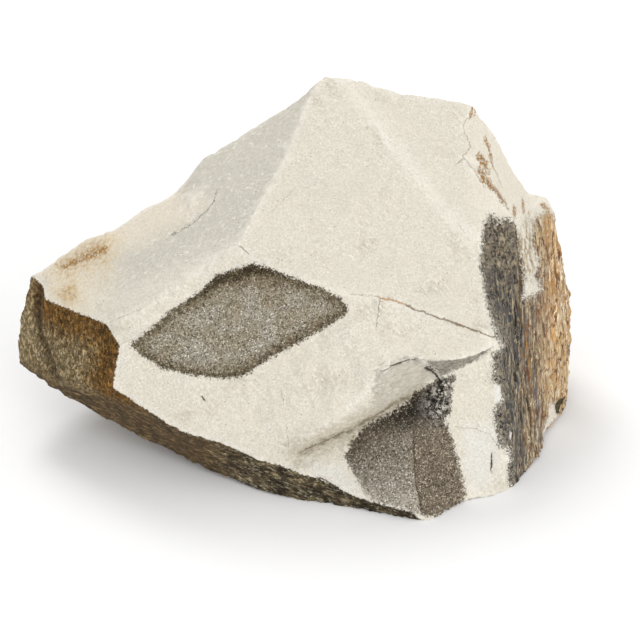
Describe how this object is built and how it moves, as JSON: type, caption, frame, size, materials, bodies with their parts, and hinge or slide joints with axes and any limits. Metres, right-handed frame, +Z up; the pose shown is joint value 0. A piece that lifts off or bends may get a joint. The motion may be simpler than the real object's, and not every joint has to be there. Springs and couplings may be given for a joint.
{
  "type": "clinoptilolite specimen",
  "caption": "Broken hand specimen of pale clinoptilolite tuff with grey crystalline inclusions and brown weathered sides, resting on a flat patch.",
  "frame": {"origin": "middle of the block's footprint box, on the surface it rests on", "axes": "+X along the block's length towards its dark weathered side, -Y out of the broken cream faces, +Z up"},
  "size_m": [0.112, 0.076, 0.0665],
  "materials": {
    "tuff": "dull, fine-grained broken stone"
  },
  "bodies": {
    "root": {"stone": "tuff"}
  },
  "joints": []
}
